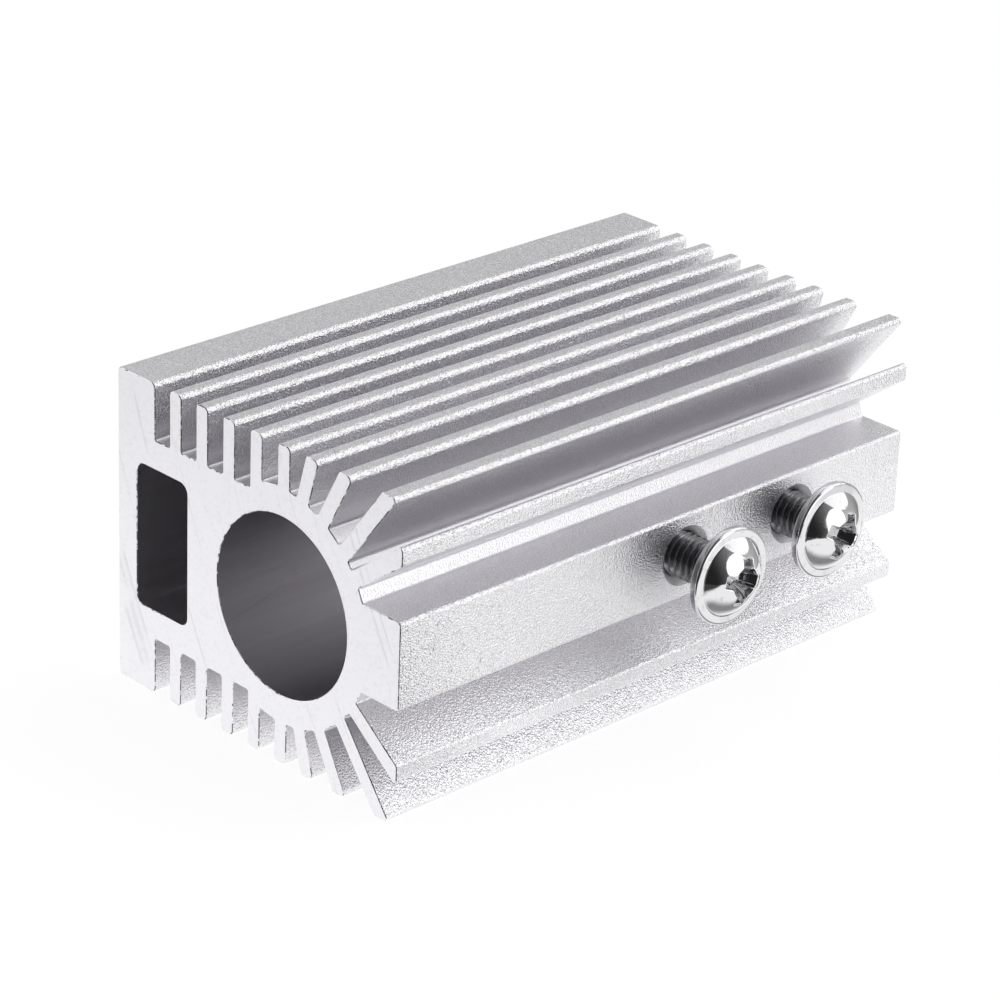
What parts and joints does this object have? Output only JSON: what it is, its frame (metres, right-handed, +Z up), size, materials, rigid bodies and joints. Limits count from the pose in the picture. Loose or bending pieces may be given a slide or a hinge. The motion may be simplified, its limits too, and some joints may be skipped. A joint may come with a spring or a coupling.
{
  "type": "extruded heat sink",
  "caption": "Extruded aluminium heat sink whose bore holds a round laser module, with cooling fins, a mounting slab and clamp screws.",
  "frame": {"origin": "on the module bore's axis, halfway along the extrusion", "axes": "+Y along the bore and the extrusion, away from the end that the picture shows; +X from the mounting slab towards the clamp screws; +Z up, from the lower fins to the upper ones"},
  "size_m": [0.0318, 0.045, 0.0216],
  "materials": {
    "blasted_aluminium": "bead-blasted and clear anodised, with bare sawn ends",
    "plated_steel": "bright plating on steel"
  },
  "bodies": {
    "root": {"heat_sink": "blasted_aluminium", "clamp_screws": "plated_steel"}
  },
  "joints": []
}
